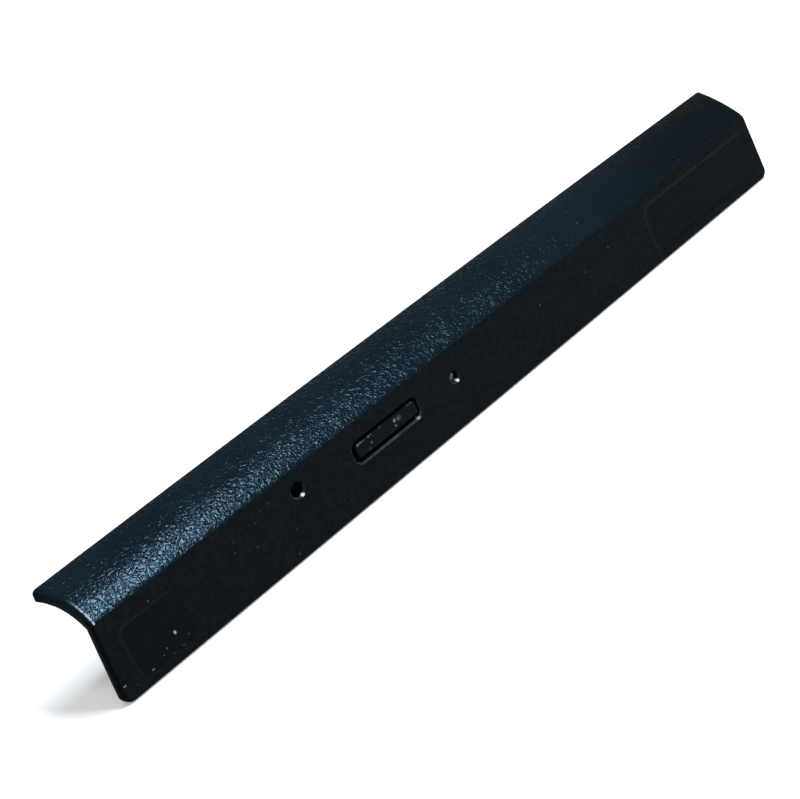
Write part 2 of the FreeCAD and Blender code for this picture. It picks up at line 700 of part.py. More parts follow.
os.makedirs("parts", exist_ok=True)
for body in (bezel, button, pipe):
    shape = body.Shape
    if shape.isNull() or not shape.isValid() or len(shape.Solids) != 1:
        raise RuntimeError("%s is not one sound solid" % body.Label)
    box = shape.optimalBoundingBox()
    print("%-16s %9.2f mm3  x %.2f..%.2f  y %.2f..%.2f  z %.2f..%.2f" % (
        body.Label, shape.Volume, box.XMin, box.XMax, box.YMin, box.YMax, box.ZMin, box.ZMax))
    shape.exportStep("parts/%s.step" % body.Label)
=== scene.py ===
import json
import math

import bpy
from mathutils import Matrix, Vector


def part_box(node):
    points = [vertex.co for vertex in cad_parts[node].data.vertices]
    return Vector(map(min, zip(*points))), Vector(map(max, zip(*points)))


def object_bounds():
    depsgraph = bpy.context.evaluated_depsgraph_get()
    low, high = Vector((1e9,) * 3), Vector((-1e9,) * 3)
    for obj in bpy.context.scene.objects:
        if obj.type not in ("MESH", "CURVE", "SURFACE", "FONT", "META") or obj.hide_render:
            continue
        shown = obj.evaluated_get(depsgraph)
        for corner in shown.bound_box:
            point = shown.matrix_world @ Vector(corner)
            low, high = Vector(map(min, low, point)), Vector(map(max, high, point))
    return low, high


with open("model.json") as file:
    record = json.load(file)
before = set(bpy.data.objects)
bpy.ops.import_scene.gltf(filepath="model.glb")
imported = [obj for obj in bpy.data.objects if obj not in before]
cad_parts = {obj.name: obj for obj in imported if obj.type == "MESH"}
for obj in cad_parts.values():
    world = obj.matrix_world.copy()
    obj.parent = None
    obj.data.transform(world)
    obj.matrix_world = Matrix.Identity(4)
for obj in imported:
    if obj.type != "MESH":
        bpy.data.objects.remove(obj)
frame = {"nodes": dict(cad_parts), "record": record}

CAD_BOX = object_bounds()
MM = 0.001

# Places on the part, in millimetres, in the part's own frame
FRONT_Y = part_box("bezel")[0].y / MM
RIDGE_Z = -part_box("bezel")[0].z / MM
WALL_REAR_Y = 0.0
END_X = 61.0
RELEASE_HOLE = next(mount for mount in frame["record"]["mounts"] if mount["name"] == "release_hole")
HOLE_PLACE = Vector(RELEASE_HOLE["pos_m"]) / MM
HOLE_RADIUS = RELEASE_HOLE["dims"]["r_mm"]

# Raised panels on the face: left, right, bottom, top, corner radius, then the edge line's width and the
# strength of its painted highlight; the line's lower right side is painted shade
PANELS = [
    ((-62.0, -53.6, -3.535, 2.995, 1.1), 0.15, 0.09),
    ((36.8, 62.5, -3.505, 3.545, 1.5), 0.32, 0.11),
]

# The camera of the photograph: where it stands, what it looks at and how far it leans
CAMERA_PLACE = Vector((-120.89, -155.46, 74.09)) * MM
CAMERA_AIM = Vector((-13.97, 0.0, 3.11)) * MM
CAMERA_ROLL = math.radians(-24.77)
CAMERA_LENS = 72.0
CAMERA_SENSOR = 36.0
CAMERA_NEAREST = 0.01
CAMERA_FARTHEST = 20.0

# The studio, in metres: a round floor that sweeps up into a wall
STUDIO_RADIUS = 1.6
STUDIO_SWEEP = 0.4
STUDIO_HEIGHT = 0.5
STUDIO_SIDES = 96
SWEEP_STEPS = 12
FLOOR_GAP = 0.02 * MM
CEILING = 0.12

# The studio's glow: distance from the part as a share of the radius, and strength there
GLOW = [(0.06, 0.38), (0.40, 0.95), (0.80, 0.95), (1.0, 0.6)]

# Lamps: name, place and aim in metres, width, length, watts and tint
LAMPS = [
    ("key", (0.10, -0.195, 0.415), (-0.04, 0, 0), 0.055, 0.36, 2.7, (0.90, 0.96, 1.0)),
    ("top", (-0.13, -0.10, 0.48), (-0.02, 0, 0), 0.10, 0.10, 0.5, (0.90, 0.96, 1.0)),
    ("fill", (-0.10, -0.65, 0.28), (0, 0, 0), 0.5, 0.5, 0.7, (1.0, 1.0, 1.0)),
    ("back", (-0.45, 0.45, 0.12), (0, 0, 0), 0.4, 0.2, 1.2, (1.0, 1.0, 1.0)),
]

# Dust on the front wall: x and z on the wall, half length, half height, brightness
FRONT_DUST = [
    (-56.07, -1.57, 0.24, 0.32, 1.00),
    (-57.82, -2.48, 0.14, 0.14, 0.25),
    (-58.52, -2.93, 0.12, 0.12, 0.18),
    (-60.43, -3.47, 0.28, 0.10, 0.50),
    (-57.24, -3.58, 0.45, 0.08, 0.20),
    (-55.80, -3.56, 0.38, 0.09, 0.20),
    (-54.70, -2.79, 0.14, 0.14, 0.15),
    (-57.07, 3.50, 0.10, 0.16, 0.25),
    (-64.25, -2.88, 0.28, 0.10, 0.70),
    (-62.85, -3.68, 0.10, 0.10, 0.15),
    (-44.86, 1.39, 0.14, 0.14, 0.14),
    (-41.92, 0.13, 0.18, 0.18, 0.10),
    (-38.12, 3.79, 0.12, 0.12, 0.16),
    (-39.40, 3.58, 0.12, 0.12, 0.10),
    (-40.80, 2.80, 0.14, 0.14, 0.08),
    (-44.50, 2.50, 0.14, 0.14, 0.08),
    (-37.28, -4.03, 0.16, 0.16, 0.15),
    (-36.20, -1.20, 0.14, 0.14, 0.08),
    (12.37, 1.78, 0.16, 0.16, 0.15),
    (22.18, 1.42, 0.14, 0.14, 0.14),
    (27.96, 2.20, 0.16, 0.16, 0.18),
]

# Painted glints on the lips of the openings: x and z, half length, half height, brightness
PAINTED_LIP_GLINTS = [
    (-33.28, 1.75, 0.34, 0.28, 1.0),
    (-5.28, 0.69, 0.29, 0.25, 1.0),
    (-13.30, 0.00, 0.42, 0.22, 0.3),
]

# Rubbed flecks on the button's cap: x and z on the cap, half length, half height, brightness
BUTTON_FLECKS = [
    (-23.35, 2.36, 0.22, 0.20, 1.00),
    (-22.70, 2.36, 0.75, 0.11, 0.50),
    (-21.35, 2.36, 0.24, 0.20, 0.95),
    (-20.90, 2.38, 0.24, 0.12, 0.50),
    (-21.26, 1.45, 0.24, 0.24, 0.45),
    (-21.85, 0.90, 0.35, 0.20, 0.18),
    (-19.26, 2.38, 0.25, 0.12, 0.25),
    (-16.85, 1.86, 0.28, 0.36, 0.85),
    (-16.93, 1.20, 0.22, 0.25, 0.80),
    (-16.10, 1.78, 0.55, 0.45, 0.35),
    (-13.80, 2.40, 0.80, 0.12, 0.25),
]

# Loose dust at random: spacing and radius in millimetres, and the share of places that have a grain
LOOSE_DUST = (2.4, 0.085, 0.16)
BUTTON_DUST = (0.9, 0.07, 0.22)
FACE_DUST_STRENGTH = 0.3
WING_DUST_STRENGTH = 0.5
BUTTON_DUST_STRENGTH = 0.5

# Soft edges of a grain of dust and of a placed spot: the share of the radius that is at full strength
GRAIN_CORE = 0.4
SPOT_CORE = 0.35
FAINTEST_GRAIN = 0.3

# Slots of the bezel and of the button
FACE, WING, LIPS, REAR = range(4)
CAP, BEHIND = range(2)

# Which faces take which slot: parts of a face's normal, then slack in millimetres and as a share
WING_UP = 0.35
WING_ASIDE = 0.70
REAR_ASIDE = 0.6
LIP_FORWARD = 0.97
LIP_DOWN = -0.2
CAP_FORWARD = -0.5
RIDGE_BAND = 1.0
REAR_SLACK = 0.05
BORE_SLACK = 1.1

# Gloss: index of refraction, and how strongly each finish shines
PLASTIC_IOR = 1.5
LENS_IOR = 1.58
LENS_CLEARNESS = 0.85
FACE_SHINE = 0.015
WING_SHINE = 0.16
LIP_SHINE = 0.12
REAR_SHINE = 0.3
BUTTON_SHINE = 0.035

# Roughness from lowest to highest, and what is added to it
FACE_ROUGH = (0.50, 0.64)
WING_ROUGH = (0.10, 0.16)
LIP_ROUGH = (0.14, 0.24)
REAR_ROUGH = (0.34, 0.44)
REAR_CLOUD_ROUGH = (0.0, 0.08)
BUTTON_ROUGH = (0.14, 0.24)
LENS_ROUGH = (0.08, 0.22)
PANEL_ROUGHER = -0.10
DUST_ROUGHER = 0.3
WORN_ROUGHER = 0.08
LIP_ROUGHER = 0.12
CAP_ROUGHER = 0.28
MARKS_ROUGHER = 0.3

# Relief, as depth in millimetres
GRAIN_DEPTH = 0.064
MOTTLE_DEPTH = 0.02
FINE_DEPTH = 0.003
LIP_DEPTH = 0.002
CLOUD_DEPTH = 0.05
BUTTON_DEPTH = 0.005
LENS_DEPTH = 0.004

# Noise patterns: features per millimetre, detail, and distortion where there is some
THREADS = (1.7, 0.6, 0.5)
PEBBLE = (2.8, 1.0)
RAGGED = (1.6, 1.0)
WING_CLOUD = (0.12, 4.0)
WING_FINE = (5.0, 2.0)
FINE = (6.0, 3.0)
MOTTLE = (1.9, 2.0)
LIP_FINE = (4.0, 2.0)
LIP_WEAR = (0.6, 3.0)
REAR_CLOUD = (0.25, 3.0)
BUTTON_FINE = (6.5, 3.0)
SCUFFS = (4.5, 3.0, 0.8)
LENS_HAZE = (5.0, 2.0)
LENS_WAVES = (3.0, 1.0)

# Spans of a noise pattern, 0 to 1, that a change runs over
WHOLE_SPAN = (0.2, 0.8)
MAIN_SPAN = (0.25, 0.75)
MIDDLE_SPAN = (0.3, 0.7)
UPPER_SPAN = (0.35, 0.70)
WING_CLOUD_SPAN = (0.35, 0.75)
WEAR_SPAN = (0.45, 0.75)
SCUFF_SPAN = (0.40, 0.60)
BROKEN_SPAN = (0.38, 0.58)

# Spans of a part of the normal that a change runs over
FACE_TURN = (-0.95, -0.80)
LIP_TURN = (-0.40, -0.15)
LIP_RISE = (0.10, 0.55)
CAP_TURN = (-0.95, -0.45)
CAP_FLAT = (-0.97, -0.85)
WING_END_TURN = (0.04, 0.15)
# Where the painted highlight line on the wing's left end starts and ends on the normal
BORDER_HIGHLIGHT_START = (0.02, 0.08)
BORDER_HIGHLIGHT_END = (0.22, 0.42)

# The wing's grain: its two parts, its border along the ridge, and how it fades to the right, in millimetres
THREAD_WIDTH = 0.15
THREAD_SHARE = 0.45
PEBBLE_SHARE = 0.55
RAGGED_REACH = 0.5
GRAIN_BORDER = (RIDGE_Z - 0.10, RIDGE_Z + 0.05)
GRAIN_FADE_X = (-10.0, 45.0)
GRAIN_LEFT = 0.45
# Where the wing's colour darkens towards the right end, as painted shade, in millimetres
SHADED_RIGHT_X = (20.0, 62.0)
# The painted highlight line on the wing's left end: how it fades upwards, its faintest share and its strength
BORDER_HIGHLIGHT_FADE = (RIDGE_Z + 1.2, RIDGE_Z + 3.0)
BORDER_HIGHLIGHT_FAINTEST = 0.25
BORDER_HIGHLIGHT_STRENGTH = 0.8

# The face: depth of the front skin, panels and openings, in millimetres, and strength of their tones, among
# them the painted shade in the openings, the painted highlight and shade on the panels' edges and the painted
# highlight on lips that look up
FRONT_SKIN = (FRONT_Y + 0.3, FRONT_Y + 0.6)
LIP_MOUTH = (FRONT_Y + 0.5, FRONT_Y + 0.9)
WALL_END = (WALL_REAR_Y - 0.1, WALL_REAR_Y)
PANEL_FILL = (-0.12, 0.0)
PANEL_LINE = 0.03
PANEL_LIT = (-0.2, 0.2)
PANEL_STRENGTH = 0.45
PANEL_SHADE = 0.4
PANEL_SMOOTHNESS = 0.75
OPENING_SHADE = 0.75
BORE_SHADE = 0.9
BORE_REACH = 3 * HOLE_RADIUS
# Strength of the painted highlight on lips that look up
LIP_HIGHLIGHT = (0.08, 0.34)
FAINTEST_SCUFF = 0.15
MARKS_HEIGHT = 0.6


def colour(red, green, blue):
    return (red, green, blue, 1.0)


FRONT_BLACK = colour(0.0035, 0.0055, 0.0071)
FRONT_BLACK_PALER = colour(0.0056, 0.0081, 0.0100)
PANEL_BLACK = colour(0.0026, 0.0040, 0.0053)
WING_BLACK = colour(0.0044, 0.0094, 0.0140)
WING_BLACK_PALER = colour(0.0056, 0.0115, 0.0167)
# Painted shade: the wing's colour towards the right end
WING_BLACK_SHADED = colour(0.0032, 0.0056, 0.0072)
EDGE_BLACK = colour(0.0030, 0.0045, 0.0060)
# Painted light: the rear's black is paler than the face's because the lamps leave the rear in shade
REAR_LIT_BLACK = colour(0.0100, 0.0112, 0.0122)
REAR_LIT_BLACK_PALER = colour(0.0150, 0.0165, 0.0176)
# Painted shade colour for the openings and the panels' lower right edges
PAINTED_SHADE_BLACK = colour(0.0010, 0.0015, 0.0020)
# Painted shade: the lens's dark tint stands for the unlit inside behind it
LENS_SHADE_DARK = colour(0.030, 0.032, 0.032)
LENS_SHADE_PALER = colour(0.060, 0.058, 0.058)
DUST = colour(0.30, 0.36, 0.38)
# Painted highlight colour, on the panels' upper left edges and on lips that look up
PAINTED_HIGHLIGHT_TONE = colour(0.075, 0.100, 0.105)
SCUFFED = colour(0.20, 0.26, 0.27)
# Painted glint colour for the lips of the openings
GLINT_PALE = colour(0.62, 0.68, 0.72)
# Painted highlight colour along the wing's left end
BORDER_HIGHLIGHT = colour(0.45, 0.56, 0.63)
COOL_GLOSS = colour(0.60, 0.85, 1.0)
BLUE_GLOSS = colour(0.38, 0.70, 1.0)
FLOOR_PAINT = colour(0.8, 0.8, 0.8)
WHITE = colour(1.0, 1.0, 1.0)


class Nodes:
    """One material, and short calls that add nodes to it."""

    def __init__(self, name):
        self.material = bpy.data.materials.new(name)
        self.material.use_nodes = True
        self.tree = self.material.node_tree

    def add(self, kind):
        return self.tree.nodes.new(kind)

    def feed(self, socket, value):
        """A node's socket takes a number or colour as it is, or a link from another node."""
        if isinstance(value, bpy.types.NodeSocket):
            self.tree.links.new(value, socket)
        else:
            socket.default_value = value

    def math(self, operation, *values):
        made = self.add("ShaderNodeMath")
        made.operation = operation
        for socket, value in zip(made.inputs, values):
            self.feed(socket, value)
        return made.outputs[0]

    def length(self, vector):
        made = self.add("ShaderNodeVectorMath")
        made.operation = "LENGTH"
        self.feed(made.inputs[0], vector)
        return made.outputs["Value"]


class Finish(Nodes):
    """A procedural plastic: its shader, places on the part in millimetres, and patterns."""

    def __init__(self, name, gloss_tint=None, **constants):
        super().__init__(name)
        self.shader = self.tree.nodes["Principled BSDF"]
        for socket, value in constants.items():
            self.shader.inputs[socket.replace("_", " ")].default_value = value
        if gloss_tint is not None:
            self.shader.inputs["Specular Tint"].default_value = gloss_tint
        coordinates = self.add("ShaderNodeTexCoord")
        in_mm = self.add("ShaderNodeVectorMath")
        in_mm.operation = "SCALE"
        self.feed(in_mm.inputs[0], coordinates.outputs["Object"])
        self.feed(in_mm.inputs["Scale"], 1 / MM)
        self.place = in_mm.outputs["Vector"]
        self.x, self.y, self.z = self.split(self.place)
        self.normal_x, self.normal_y, self.normal_z = self.split(coordinates.outputs["Normal"])

    def set(self, socket, value):
        self.feed(self.shader.inputs[socket], value)

    def split(self, vector):
        made = self.add("ShaderNodeSeparateXYZ")
        self.feed(made.inputs[0], vector)
        return made.outputs[0], made.outputs[1], made.outputs[2]

    def distance(self, across, up):
        made = self.add("ShaderNodeCombineXYZ")
        self.feed(made.inputs[0], across)
        self.feed(made.inputs[1], up)
        return self.length(made.outputs[0])

    def times(self, first, *others):
        for other in others:
            first = self.math("MULTIPLY", first, other)
        return first

    def plus(self, first, *others):
        for other in others:
            first = self.math("ADD", first, other)
        return first

    def minus(self, first, second):
        return self.math("SUBTRACT", first, second)

    def rest_of(self, share):
        return self.minus(1.0, share)

    def size_of(self, value):
        return self.math("ABSOLUTE", value)

    def beyond(self, value, centre, half):
        """How far value lies outside centre plus or minus half, below 0 inside."""
        return self.minus(self.size_of(self.minus(value, centre)), half)

    def in_halves(self, value, centre, half):
        """How far value lies from centre, counted in halves."""
        return self.math("DIVIDE", self.minus(value, centre), half)

    def rise(self, value, low, high, to_low=0.0, to_high=1.0):
        """to_low where value is at most low, to_high where it is at least high, smooth between."""
        made = self.add("ShaderNodeMapRange")
        made.interpolation_type = "SMOOTHSTEP"
        for name, number in (
            ("Value", value),
            ("From Min", low),
            ("From Max", high),
            ("To Min", to_low),
            ("To Max", to_high),
        ):
            self.feed(made.inputs[name], number)
        return made.outputs[0]

    def fall(self, value, low, high):
        """1 where value is at most low, 0 where it is at least high, smooth between."""
        return self.rise(value, low, high, 1.0, 0.0)

    def noise(self, scale, detail, distortion=0.0):
        made = self.add("ShaderNodeTexNoise")
        self.feed(made.inputs["Vector"], self.place)
        self.feed(made.inputs["Scale"], scale)
        self.feed(made.inputs["Detail"], detail)
        self.feed(made.inputs["Distortion"], distortion)
        return made.outputs["Fac"]

    def specks(self, spacing, radius, share):
        """Round grains of dust at random, in about that share of the cells of a loose net."""
        cells = self.add("ShaderNodeTexVoronoi")
        self.feed(cells.inputs["Vector"], self.place)
        self.feed(cells.inputs["Scale"], 1 / spacing)
        grain = self.fall(cells.outputs["Distance"], GRAIN_CORE * radius / spacing, radius / spacing)
        luck, size, _ = self.split(cells.outputs["Color"])
        chosen = self.math("LESS_THAN", luck, share)
        return self.times(grain, chosen, self.rise(size, 0.0, 1.0, FAINTEST_GRAIN, 1.0))

    def spot(self, x, z, half_length, half_height):
        """1 at that place on the front, falling to 0 at the edge of an ellipse."""
        across = self.in_halves(self.x, x, half_length)
        up = self.in_halves(self.z, z, half_height)
        return self.fall(self.distance(across, up), SPOT_CORE, 1.0)

    def spots(self, start, rows, mask):
        """The higher of start and the spots in rows, each as strong as its brightness times mask."""
        for x, z, half_length, half_height, bright in rows:
            mark = self.times(self.spot(x, z, half_length, half_height), mask, bright)
            start = self.math("MAXIMUM", start, mark)
        return start

    def blend(self, share, first, second):
        """first where share is 0, second where it is 1, for colours."""
        made = self.add("ShaderNodeMix")
        made.data_type = "RGBA"
        factor, low, high = made.inputs[0], made.inputs[6], made.inputs[7]
        self.feed(factor, share)
        self.feed(low, first)
        self.feed(high, second)
        return made.outputs[2]

    def bump(self, height, depth, below=None):
        """Surface relief: height from 0 to 1 stands for depth in millimetres."""
        made = self.add("ShaderNodeBump")
        self.feed(made.inputs["Height"], height)
        made.inputs["Distance"].default_value = depth * MM
        if below is not None:
            self.feed(made.inputs["Normal"], below)
        return made.outputs[0]


def dress(node, *finishes):
    """The CAD node's material slots take these finishes, the first one all over."""
    node.data.materials.clear()
    for finish in finishes:
        node.data.materials.append(finish.material)


def share_out_bezel(node):
    """Each face takes its slot: the wing's outer skin, the rear, the openings' lips, or else the face."""
    for face in node.data.polygons:
        normal = face.normal
        x, y, z = face.center / MM
        inboard = abs(x) < END_X
        in_bore = math.hypot(x - HOLE_PLACE.x, z - HOLE_PLACE.z) < BORE_SLACK * HOLE_RADIUS
        in_wall = y < WALL_REAR_Y
        by_ridge = in_wall and z > RIDGE_Z - RIDGE_BAND
        looks_up = normal.z > WING_UP and abs(normal.x) < WING_ASIDE
        at_rear = y > WALL_REAR_Y - REAR_SLACK and not in_bore
        at_opening = in_wall and inboard and not by_ridge
        if looks_up and (by_ridge or z > RIDGE_Z):
            face.material_index = WING
        elif at_rear and (inboard or abs(normal.x) < REAR_ASIDE):
            face.material_index = REAR
        elif at_opening and abs(normal.y) < LIP_FORWARD and normal.z > LIP_DOWN:
            face.material_index = LIPS
        else:
            face.material_index = FACE


def share_out_button(node):
    """What lies behind the wall and looks back or sideways takes the rear's slot, the rest the cap's."""
    for face in node.data.polygons:
        in_rear = face.center.y > (WALL_REAR_Y - REAR_SLACK) * MM
        face.material_index = BEHIND if in_rear and face.normal.y > CAP_FORWARD else CAP


def panel_edge(finish, left, right, bottom, top, corner):
    """Signed distance in millimetres to a panel's outline, and 1 on its lit upper left side, else 0."""
    centre_x = (left + right) / 2
    centre_z = (bottom + top) / 2
    half_length = (right - left) / 2
    half_height = (top - bottom) / 2
    over_x = finish.beyond(finish.x, centre_x, half_length - corner)
    over_z = finish.beyond(finish.z, centre_z, half_height - corner)
    outside = finish.distance(finish.math("MAXIMUM", over_x, 0.0), finish.math("MAXIMUM", over_z, 0.0))
    inside = finish.math("MINIMUM", finish.math("MAXIMUM", over_x, over_z), 0.0)
    edge = finish.minus(finish.plus(outside, inside), corner)
    across = finish.in_halves(finish.x, centre_x, half_length)
    up = finish.in_halves(finish.z, centre_z, half_height)
    return edge, finish.rise(finish.minus(up, across), *PANEL_LIT)


def curled_grain(finish):
    """The mould's grain, 0 to 1: rounded threads that curl about each other, over a loose pebble."""
    from_middle = finish.size_of(finish.minus(finish.noise(*THREADS), 0.5))
    thread = finish.fall(from_middle, 0.0, THREAD_WIDTH)
    pebble = finish.noise(*PEBBLE)
    return finish.plus(finish.times(thread, THREAD_SHARE), finish.times(pebble, PEBBLE_SHARE))


def grained_finish():
    """The wing's outer skin: fine curled grain from the mould, up to a ragged border along the ridge, with
    painted shade towards the right end and a painted highlight line along the left end.
    """
    finish = Finish("bezel_grained_plastic", BLUE_GLOSS, Specular_IOR_Level=WING_SHINE, IOR=PLASTIC_IOR)
    ragged_z = finish.plus(finish.z, finish.times(finish.noise(*RAGGED), RAGGED_REACH))
    turned = finish.size_of(finish.normal_x)
    grained = finish.times(
        finish.rise(ragged_z, *GRAIN_BORDER),
        finish.fall(turned, *WING_END_TURN),
        finish.rise(finish.x, *GRAIN_FADE_X, 1.0, GRAIN_LEFT))
    finish.set("Normal", finish.bump(finish.times(curled_grain(finish), grained), GRAIN_DEPTH))

    cloud = finish.rise(finish.noise(*WING_CLOUD), *WING_CLOUD_SPAN)
    base = finish.blend(cloud, WING_BLACK, WING_BLACK_PALER)
    # Painted shade: the wing darkens towards the right end
    base = finish.blend(finish.rise(finish.x, *SHADED_RIGHT_X), base, WING_BLACK_SHADED)
    # Painted highlight: a broken pale line along the wing's rounded left end
    border_highlight = finish.times(
        finish.rise(turned, *BORDER_HIGHLIGHT_START),
        finish.fall(turned, *BORDER_HIGHLIGHT_END),
        finish.fall(finish.z, *BORDER_HIGHLIGHT_FADE),
        finish.rise(finish.noise(*PEBBLE), *BROKEN_SPAN, BORDER_HIGHLIGHT_FAINTEST, 1.0),
        finish.math("LESS_THAN", finish.x, 0.0))
    base = finish.blend(finish.times(border_highlight, BORDER_HIGHLIGHT_STRENGTH), base, BORDER_HIGHLIGHT)
    dust = finish.times(finish.specks(*LOOSE_DUST), WING_DUST_STRENGTH)
    finish.set("Base Color", finish.blend(dust, base, DUST))
    finish.set("Roughness", finish.rise(finish.noise(*WING_FINE), *MAIN_SPAN, *WING_ROUGH))
    return finish


def smooth_finish():
    """The face: satin plastic, faintly mottled, with two smoother panels whose edges carry a painted
    highlight and painted shade, dust, and painted shade in the openings.
    """
    finish = Finish("bezel_smooth_plastic", COOL_GLOSS, Specular_IOR_Level=FACE_SHINE, IOR=PLASTIC_IOR)
    front = finish.times(finish.fall(finish.normal_y, *FACE_TURN), finish.fall(finish.y, *FRONT_SKIN))
    off_front = finish.rest_of(front)
    fine = finish.noise(*FINE)
    mottle = finish.noise(*MOTTLE)

    base = finish.blend(finish.rise(mottle, *UPPER_SPAN), FRONT_BLACK, FRONT_BLACK_PALER)
    panels = []
    for outline, line_width, line_strength in PANELS:
        edge, lit = panel_edge(finish, *outline)
        within = finish.times(front, finish.fall(edge, *PANEL_FILL))
        line = finish.times(front, finish.fall(finish.size_of(edge), PANEL_LINE, line_width))
        base = finish.blend(finish.times(within, PANEL_STRENGTH), base, PANEL_BLACK)
        # Painted highlight on each panel's upper left edge, painted shade on its lower right edge
        base = finish.blend(finish.times(line, lit, line_strength), base, PAINTED_HIGHLIGHT_TONE)
        base = finish.blend(finish.times(line, finish.rest_of(lit), PANEL_SHADE), base, PAINTED_SHADE_BLACK)
        panels.append(within)
    in_panel = finish.plus(*panels)

    in_wall = finish.fall(finish.y, *WALL_END)
    # Painted shade on faces of the wall that turn away from the front, the openings' walls among them, and
    # more around the release hole's bore
    base = finish.blend(finish.times(in_wall, off_front, OPENING_SHADE), base, PAINTED_SHADE_BLACK)
    in_bore = finish.spot(HOLE_PLACE.x, HOLE_PLACE.z, BORE_REACH, BORE_REACH)
    base = finish.blend(finish.times(in_bore, off_front, BORE_SHADE), base, PAINTED_SHADE_BLACK)
    loose_dust = finish.times(finish.specks(*LOOSE_DUST), front, FACE_DUST_STRENGTH)
    dust = finish.spots(loose_dust, FRONT_DUST, front)
    finish.set("Base Color", finish.blend(dust, base, DUST))

    finish.set("Roughness", finish.plus(
        finish.rise(fine, *WHOLE_SPAN, *FACE_ROUGH),
        finish.times(in_panel, PANEL_ROUGHER),
        finish.times(dust, DUST_ROUGHER)))
    relief = finish.times(mottle, finish.rest_of(finish.times(in_panel, PANEL_SMOOTHNESS)))
    finish.set("Normal", finish.bump(relief, MOTTLE_DEPTH, finish.bump(fine, FINE_DEPTH)))
    return finish


def edge_finish():
    """The lips of the openings, polished by handling, with a painted highlight where a lip looks up and
    painted glints on three lips.
    """
    finish = Finish("bezel_edge_plastic", COOL_GLOSS, Specular_IOR_Level=LIP_SHINE, IOR=PLASTIC_IOR)
    fine = finish.noise(*LIP_FINE)
    worn = finish.rise(finish.noise(*LIP_WEAR), *WEAR_SPAN)
    lip = finish.times(finish.rise(finish.normal_z, *LIP_RISE), finish.fall(finish.normal_y, *LIP_TURN))
    mouth = finish.fall(finish.y, *LIP_MOUTH)
    base = finish.blend(worn, EDGE_BLACK, FRONT_BLACK_PALER)
    # Painted highlight where a lip looks up
    base = finish.blend(finish.times(lip, finish.rise(fine, *MIDDLE_SPAN, *LIP_HIGHLIGHT)), base, PAINTED_HIGHLIGHT_TONE)
    # Painted glints on the lips of the release hole, the lamp hole and the slot's lower right corner
    for x, z, half_length, half_height, bright in PAINTED_LIP_GLINTS:
        glint = finish.times(finish.spot(x, z, half_length, half_height), mouth, bright)
        base = finish.blend(glint, base, GLINT_PALE)
    finish.set("Base Color", base)
    finish.set("Roughness", finish.plus(
        finish.rise(fine, *WHOLE_SPAN, *LIP_ROUGH),
        finish.times(worn, WORN_ROUGHER),
        finish.times(lip, LIP_ROUGHER)))
    finish.set("Normal", finish.bump(fine, LIP_DEPTH))
    return finish


def rear_finish(name):
    """The plain rear: satin plastic as it left the mould, faintly clouded, its black paler than the face's as
    painted light on sides the lamps leave in shade.
    """
    finish = Finish(name, Specular_IOR_Level=REAR_SHINE, IOR=PLASTIC_IOR)
    fine = finish.noise(*FINE)
    cloud = finish.noise(*REAR_CLOUD)
    # Painted light: the rear's paler black
    finish.set("Base Color", finish.blend(finish.rise(cloud, *UPPER_SPAN), REAR_LIT_BLACK, REAR_LIT_BLACK_PALER))
    finish.set("Roughness", finish.plus(
        finish.rise(fine, *WHOLE_SPAN, *REAR_ROUGH),
        finish.rise(cloud, *MIDDLE_SPAN, *REAR_CLOUD_ROUGH)))
    finish.set("Normal", finish.bump(cloud, CLOUD_DEPTH, finish.bump(fine, FINE_DEPTH)))
    return finish


def button_finish():
    """The button's cap: the same plastic as the face, scuffed by fingers."""
    finish = Finish("button_black_plastic", COOL_GLOSS, Specular_IOR_Level=BUTTON_SHINE, IOR=PLASTIC_IOR)
    fine = finish.noise(*BUTTON_FINE)
    scuff_net = finish.rise(finish.noise(*SCUFFS), *SCUFF_SPAN, FAINTEST_SCUFF, 1.0)
    loose_dust = finish.times(finish.specks(*BUTTON_DUST), BUTTON_DUST_STRENGTH)
    front = finish.fall(finish.normal_y, *CAP_TURN)
    marks = finish.times(finish.spots(loose_dust, BUTTON_FLECKS, scuff_net), front)
    finish.set("Base Color", finish.blend(marks, FRONT_BLACK, SCUFFED))
    finish.set("Roughness", finish.plus(
        finish.rise(fine, *WHOLE_SPAN, *BUTTON_ROUGH),
        finish.times(finish.fall(finish.normal_y, *CAP_FLAT), CAP_ROUGHER),
        finish.times(marks, MARKS_ROUGHER)))
    finish.set("Normal", finish.bump(finish.plus(fine, finish.times(marks, MARKS_HEIGHT)), BUTTON_DEPTH))
    return finish


def light_pipe_finish():
    """The lamp's lens: clear plastic tinted dark as painted shade, a little hazy."""
    finish = Finish("light_pipe_shade_tinted_plastic", Transmission_Weight=LENS_CLEARNESS, IOR=LENS_IOR)
    haze = finish.noise(*LENS_HAZE)
    # The dark tint is painted shade for the unlit inside behind the lens
    finish.set("Base Color", finish.blend(haze, LENS_SHADE_DARK, LENS_SHADE_PALER))
    finish.set("Roughness", finish.rise(haze, *MAIN_SPAN, *LENS_ROUGH))
    finish.set("Normal", finish.bump(finish.noise(*LENS_WAVES), LENS_DEPTH))
    return finish


def seen_rays(nodes):
    """1 for rays that look at the background: from the camera, in a reflection or through the clear piece."""
    path = nodes.add("ShaderNodeLightPath")
    seen = path.outputs["Is Camera Ray"]
    for name in ("Is Glossy Ray", "Is Transmission Ray"):
        seen = nodes.math("MAXIMUM", seen, path.outputs[name])
    return seen


